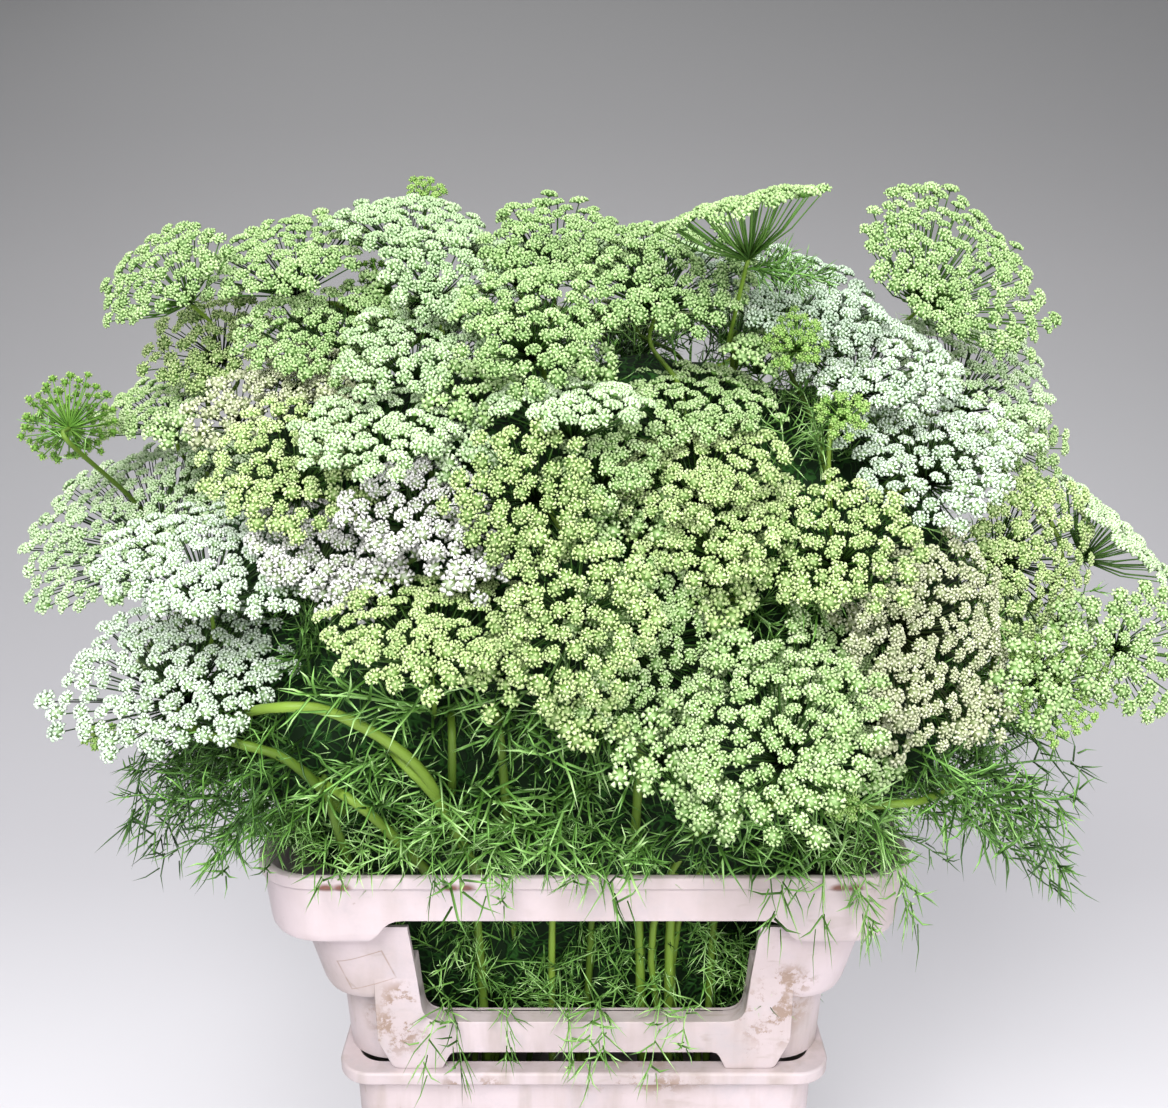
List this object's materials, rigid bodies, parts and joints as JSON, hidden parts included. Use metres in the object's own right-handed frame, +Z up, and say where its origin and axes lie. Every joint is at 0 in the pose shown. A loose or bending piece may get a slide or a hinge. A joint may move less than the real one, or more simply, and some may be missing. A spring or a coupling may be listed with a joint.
{
  "type": "filled bucket of toothpick weed flowers",
  "caption": "Tall white plastic flower bucket with a windowed collar, filled with bunches of toothpick weed: flat white and green umbels over feathery foliage.",
  "frame": {"origin": "middle of the bucket's flat base, on the surface that it stands on", "axes": "+Z up along the stems, -Y towards the viewer of the picture, +X to the viewer's right along the bucket's long side"},
  "size_m": [0.8514, 0.5927, 1.015],
  "materials": {
    "bucket_plastic": "off-white moulded plastic, scuffed",
    "collar_plastic": "off-white moulded plastic, scuffed and stained",
    "water": "clear, still",
    "greenery": "living green, slightly waxy",
    "bloom_white": "soft matte petals",
    "bloom_green_white": "soft matte petals",
    "bloom_yellow_green": "soft matte petals",
    "bloom_blush": "soft matte petals"
  },
  "bodies": {
    "root": {"bucket": "bucket_plastic", "collar": "collar_plastic", "water": "water", "bunch_front_left": "greenery", "bunch_front_middle": "greenery", "bunch_front_right": "greenery", "bunch_back_left": "greenery", "bunch_back_right": "greenery", "umbel_01": "bloom_green_white", "umbel_02": "bloom_yellow_green", "umbel_03": "bloom_green_white", "umbel_04": "bloom_white", "umbel_05": "bloom_white", "umbel_06": "bloom_white", "umbel_07": "bloom_green_white", "umbel_08": "bloom_green_white", "umbel_09": "bloom_blush", "umbel_10": "bloom_yellow_green", "umbel_11": "bloom_white", "umbel_12": "bloom_white", "umbel_13": "bloom_white", "umbel_14": "bloom_white", "umbel_15": "bloom_blush", "umbel_16": "bloom_blush", "umbel_17": "bloom_green_white", "umbel_18": "bloom_green_white", "umbel_19": "bloom_green_white", "umbel_20": "bloom_white", "umbel_21": "bloom_green_white", "umbel_22": "bloom_yellow_green", "umbel_23": "bloom_yellow_green", "umbel_24": "bloom_green_white", "umbel_25": "bloom_yellow_green", "umbel_26": "bloom_yellow_green", "umbel_27": "bloom_yellow_green", "umbel_28": "bloom_yellow_green", "umbel_29": "bloom_green_white", "umbel_30": "bloom_white", "umbel_31": "bloom_green_white", "umbel_32": "bloom_blush", "umbel_33": "bloom_white", "umbel_34": "bloom_green_white", "umbel_35": "bloom_white", "umbel_36": "bloom_white", "umbel_37": "bloom_white", "umbel_38": "bloom_white", "umbel_39": "bloom_green_white", "umbel_40": "bloom_yellow_green", "umbel_41": "bloom_white", "umbel_42": "bloom_green_white", "umbel_pair_01": "bloom_white", "umbel_pair_02": "bloom_yellow_green", "umbel_pair_03": "bloom_green_white", "umbel_pair_04": "bloom_white", "umbel_pair_05": "bloom_yellow_green", "umbel_pair_06": "bloom_green_white", "umbel_pair_07": "bloom_white", "umbel_pair_08": "bloom_yellow_green", "umbel_pair_09": "bloom_green_white", "umbel_pair_10": "bloom_white"}
  },
  "joints": []
}
